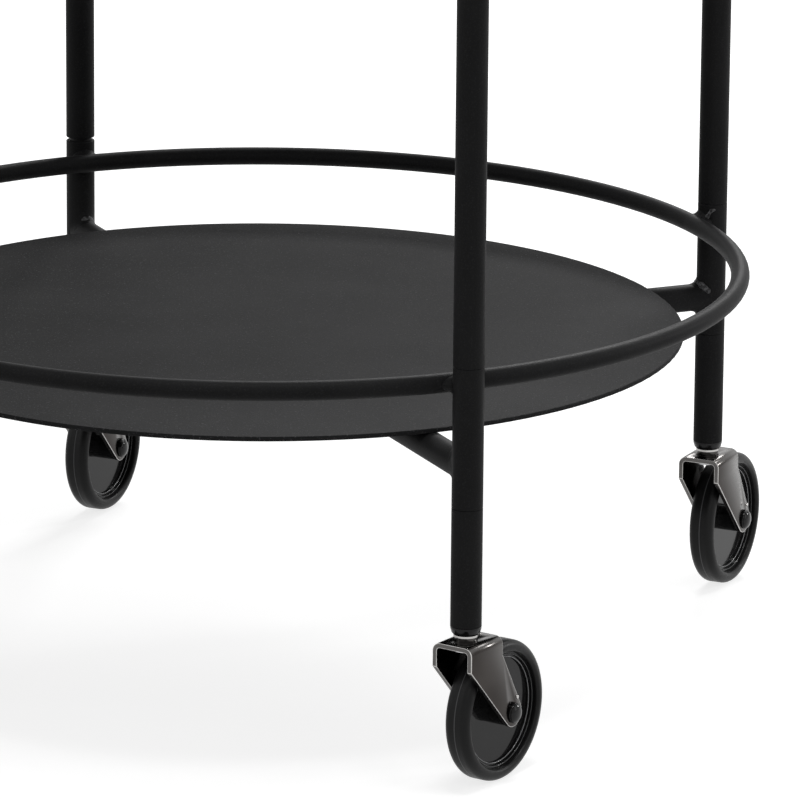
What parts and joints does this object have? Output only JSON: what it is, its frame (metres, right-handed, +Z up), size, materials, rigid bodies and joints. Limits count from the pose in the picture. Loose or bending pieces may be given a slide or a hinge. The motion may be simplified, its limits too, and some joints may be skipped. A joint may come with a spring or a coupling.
{
  "type": "serving trolley",
  "caption": "Round black serving trolley: tube legs on swivel casters, disc trays on cross braces, each tray inside a rod ring rail.",
  "frame": {"origin": "on the floor, at the centre of the ground that the trolley covers with its casters trailing as stored; the frame's upright axis stands 17.0 mm towards -X and 14.6 mm towards -Y of it", "axes": "+Z up; the legs stand in the +X, +Y, -X and -Y directions from the frame's axis, named right, back, left and front"},
  "size_m": [0.6032, 0.5976, 0.68],
  "materials": {
    "frame_paint": "fine matt powder coat",
    "tray_paint": "fine matt powder coat",
    "plain_steel": "zinc plated",
    "bright_nickel": "bright nickel plate",
    "black_nickel": "black nickel plate",
    "black_socket": "gloss",
    "hub_plastic": "gloss",
    "tyre_rubber": "matt rubber"
  },
  "bodies": {
    "frame": {"lower_leg_right": "frame_paint", "lower_leg_back": "frame_paint", "lower_leg_left": "frame_paint", "lower_leg_front": "frame_paint", "lower_sleeve_right": "frame_paint", "lower_sleeve_back": "frame_paint", "lower_sleeve_left": "frame_paint", "lower_sleeve_front": "frame_paint", "middle_leg_right": "frame_paint", "middle_leg_back": "frame_paint", "middle_leg_left": "frame_paint", "middle_leg_front": "frame_paint", "upper_sleeve_right": "frame_paint", "upper_sleeve_back": "frame_paint", "upper_sleeve_left": "frame_paint", "upper_sleeve_front": "frame_paint", "lower_ring": "frame_paint", "upper_ring": "frame_paint", "lower_brace": "frame_paint", "upper_brace": "frame_paint", "lower_brace_arms": "frame_paint", "upper_brace_arms": "frame_paint", "lower_tray_welds": "frame_paint", "upper_tray_welds": "frame_paint", "leg_caps": "frame_paint", "middle_leg_spigots": "frame_paint", "lower_tray": "tray_paint", "upper_tray": "tray_paint", "caster_stems": "plain_steel", "lower_leg_plugs": "plain_steel", "middle_leg_plugs": "plain_steel", "lower_tie_rods": "plain_steel", "upper_tie_rods": "plain_steel", "swivel_collars": "bright_nickel", "caster_sockets": "black_socket"},
    "caster_right": {"caster_fork_right": "black_nickel", "wheel_axle_right": "black_nickel"},
    "wheel_right": {"wheel_hub_right": "hub_plastic", "wheel_tyre_right": "tyre_rubber", "wheel_bush_right": "plain_steel"},
    "caster_back": {"caster_fork_back": "black_nickel", "wheel_axle_back": "black_nickel"},
    "wheel_back": {"wheel_hub_back": "hub_plastic", "wheel_tyre_back": "tyre_rubber", "wheel_bush_back": "plain_steel"},
    "caster_left": {"caster_fork_left": "black_nickel", "wheel_axle_left": "black_nickel"},
    "wheel_left": {"wheel_hub_left": "hub_plastic", "wheel_tyre_left": "tyre_rubber", "wheel_bush_left": "plain_steel"},
    "caster_front": {"caster_fork_front": "black_nickel", "wheel_axle_front": "black_nickel"},
    "wheel_front": {"wheel_hub_front": "hub_plastic", "wheel_tyre_front": "tyre_rubber", "wheel_bush_front": "plain_steel"}
  },
  "joints": [
    {"name": "swivel_right", "type": "hinge", "parent": "frame", "child": "caster_right", "pos_m": [0.2505, -0.0146, 0.07895], "axis": [0, 0, 1], "continuous": true},
    {"name": "roll_right", "type": "hinge", "parent": "caster_right", "child": "wheel_right", "pos_m": [0.27088, 0.00311, 0.03675], "axis": [-0.6561, 0.7547, 0], "continuous": true},
    {"name": "swivel_back", "type": "hinge", "parent": "frame", "child": "caster_back", "pos_m": [-0.017, 0.2529, 0.07895], "axis": [0, 0, 1], "continuous": true},
    {"name": "roll_back", "type": "hinge", "parent": "caster_back", "child": "wheel_back", "pos_m": [0.00322, 0.27079, 0.03675], "axis": [-0.6626, 0.749, 0], "continuous": true},
    {"name": "swivel_left", "type": "hinge", "parent": "frame", "child": "caster_left", "pos_m": [-0.2845, -0.0146, 0.07895], "axis": [0, 0, 1], "continuous": true},
    {"name": "roll_left", "type": "hinge", "parent": "caster_left", "child": "wheel_left", "pos_m": [-0.26322, 0.00202, 0.03675], "axis": [-0.6157, 0.788, 0], "continuous": true},
    {"name": "swivel_front", "type": "hinge", "parent": "frame", "child": "caster_front", "pos_m": [-0.017, -0.2821, 0.07895], "axis": [0, 0, 1], "continuous": true},
    {"name": "roll_front", "type": "hinge", "parent": "caster_front", "child": "wheel_front", "pos_m": [0.0059, -0.26779, 0.03675], "axis": [-0.5299, 0.848, 0], "continuous": true}
  ]
}
